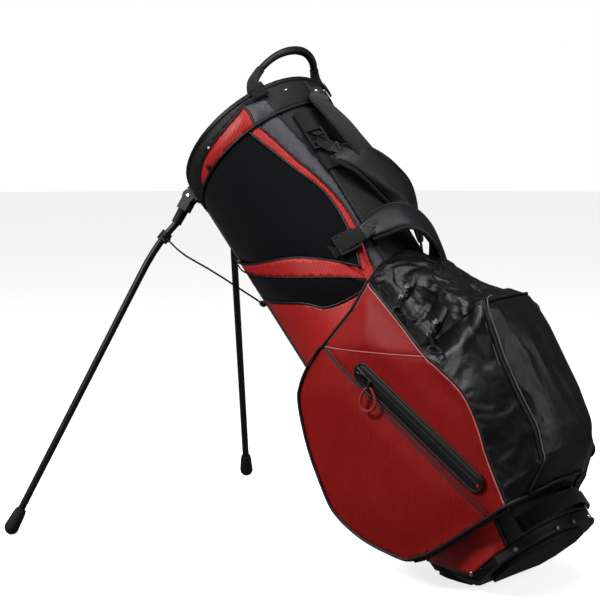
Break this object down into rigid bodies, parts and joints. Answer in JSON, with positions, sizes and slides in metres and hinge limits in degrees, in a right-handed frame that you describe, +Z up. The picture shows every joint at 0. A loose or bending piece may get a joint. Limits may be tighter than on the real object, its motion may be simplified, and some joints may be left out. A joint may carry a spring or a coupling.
{
  "type": "golf stand bag",
  "caption": "Golf stand bag leaning on two folding legs worked by a toe lever, with dividers, zipped side and rear pockets, and shoulder pads.",
  "frame": {"origin": "middle of the toe plate's ground face, on the floor, with the bag leaning on its open legs", "axes": "+Z up, -X towards the legs' feet, -Y the near side with its zip, +Y the far side"},
  "size_m": [0.9154, 0.6054, 0.7953],
  "materials": {
    "satin_vinyl": "charcoal satin coated fabric",
    "black_mesh": "matt black air mesh",
    "coated_red": "coated red fabric with fine diagonal ribs",
    "webbing": "black woven webbing",
    "moulding": "fine grained black moulding",
    "steel": "bright drawn wire and turned pins",
    "rubber": "matt black rubber",
    "black_tube": "satin black powder coat",
    "coated_black": "black coated fabric with a soft gloss"
  },
  "bodies": {
    "bag": {"spine_panel": "satin_vinyl", "near_side_panel": "black_mesh", "front_panel": "coated_red", "far_side_panel": "black_mesh", "collar_band": "coated_red", "front_divider": "webbing", "back_divider": "webbing", "middle_divider": "webbing", "top_cuff": "moulding", "near_stay": "steel", "far_stay": "steel", "base_tray": "moulding", "sole_pad": "rubber", "toe_pin": "steel", "rod_channel": "moulding", "near_hinge_pin": "steel", "far_hinge_pin": "steel", "stand_bracket": "moulding", "near_side_pocket": "coated_red", "far_side_pocket": "coated_red", "ball_pocket": "coated_black", "upper_pocket": "coated_black", "upper_zip_tape": "moulding", "lower_zip_tape": "moulding", "near_drinks_pocket": "black_mesh", "far_drinks_pocket": "black_mesh", "spine_strip": "webbing", "top_handle": "webbing", "upper_strap_web": "webbing", "lower_strap_web": "webbing", "upper_strap_pad": "coated_black", "lower_strap_pad": "coated_black", "upper_buckle": "moulding", "lower_buckle": "moulding", "rear_grab_band": "webbing", "near_zip_strip": "moulding", "far_zip_strip": "moulding"},
    "near_leg": {"near_leg_fork": "moulding", "near_leg_tube": "black_tube", "near_foot": "rubber", "near_leg_clip": "moulding"},
    "far_leg": {"far_leg_fork": "moulding", "far_leg_tube": "black_tube", "far_foot": "rubber", "far_leg_clip": "moulding"},
    "pusher": {"push_rod": "steel"},
    "toe_lever": {"toe_lever": "rubber"},
    "near_wire": {"near_wire": "steel"},
    "far_wire": {"far_wire": "steel"},
    "upper_zip_slider": {"upper_zip_slider": "steel"},
    "lower_zip_slider": {"lower_zip_slider": "steel"},
    "near_zip_slider": {"near_zip_slider": "coated_black"},
    "far_zip_slider": {"far_zip_slider": "coated_black"},
    "upper_zip_pull": {"upper_zip_pull": "steel"},
    "lower_zip_pull": {"lower_zip_pull": "steel"}
  },
  "joints": [
    {"name": "near_leg_fold", "type": "hinge", "parent": "bag", "child": "near_leg", "pos_m": [-0.53227, -0.055, 0.5495], "axis": [0.325, -0.9021, 0.2839], "range_deg": [0, 62.59]},
    {"name": "far_leg_fold", "type": "hinge", "parent": "bag", "child": "far_leg", "pos_m": [-0.53227, 0.055, 0.5495], "axis": [-0.325, -0.9021, -0.2839], "range_deg": [0, 62.6]},
    {"name": "pusher_slide", "type": "slide", "parent": "bag", "child": "pusher", "axis": [0.6578, 0, -0.7532], "range_m": [0, 0.0576]},
    {"name": "toe_lever_tilt", "type": "hinge", "parent": "bag", "child": "toe_lever", "pos_m": [0.03921, 0, 0.0069], "axis": [0, -1, 0], "range_deg": [0, 40]},
    {"name": "near_wire_swing", "type": "hinge", "parent": "pusher", "child": "near_wire", "pos_m": [-0.36477, -0.07, 0.38719], "axis": [-0.2912, 0.9053, -0.3093], "range_deg": [0, 19.3]},
    {"name": "far_wire_swing", "type": "hinge", "parent": "pusher", "child": "far_wire", "pos_m": [-0.36477, 0.07, 0.38719], "axis": [0.2912, 0.9053, 0.3093], "range_deg": [0, 19.3]},
    {"name": "upper_zip_run", "type": "slide", "parent": "bag", "child": "upper_zip_slider", "axis": [-0.4399, -0.1036, -0.892], "range_m": [-0.011, 0.006]},
    {"name": "lower_zip_run", "type": "slide", "parent": "bag", "child": "lower_zip_slider", "axis": [-0.4382, -0.104, -0.8928], "range_m": [-0.021, 0.006]},
    {"name": "near_zip_run", "type": "slide", "parent": "bag", "child": "near_zip_slider", "axis": [0.8282, 0, -0.5604], "range_m": [0, 0.204]},
    {"name": "far_zip_run", "type": "slide", "parent": "bag", "child": "far_zip_slider", "axis": [0.8282, 0, -0.5604], "range_m": [0, 0.204]},
    {"name": "upper_zip_swing", "type": "hinge", "parent": "upper_zip_slider", "child": "upper_zip_pull", "pos_m": [-0.06963, -0.09111, 0.43386], "axis": [-0.8835, 0.2279, 0.4092], "range_deg": [0, 120]},
    {"name": "lower_zip_swing", "type": "hinge", "parent": "lower_zip_slider", "child": "lower_zip_pull", "pos_m": [-0.00472, -0.11078, 0.38905], "axis": [-0.8844, 0.2277, 0.4075], "range_deg": [0, 120]}
  ],
  "couplings": [
    {"joint": "far_leg_fold", "follows": "near_leg_fold", "ratio": 1},
    {"joint": "pusher_slide", "follows": "near_leg_fold", "m_per_rad": 0.052695},
    {"joint": "toe_lever_tilt", "follows": "near_leg_fold", "ratio": 0.639},
    {"joint": "near_wire_swing", "follows": "near_leg_fold", "ratio": 0.30711},
    {"joint": "far_wire_swing", "follows": "near_leg_fold", "ratio": 0.30711}
  ]
}
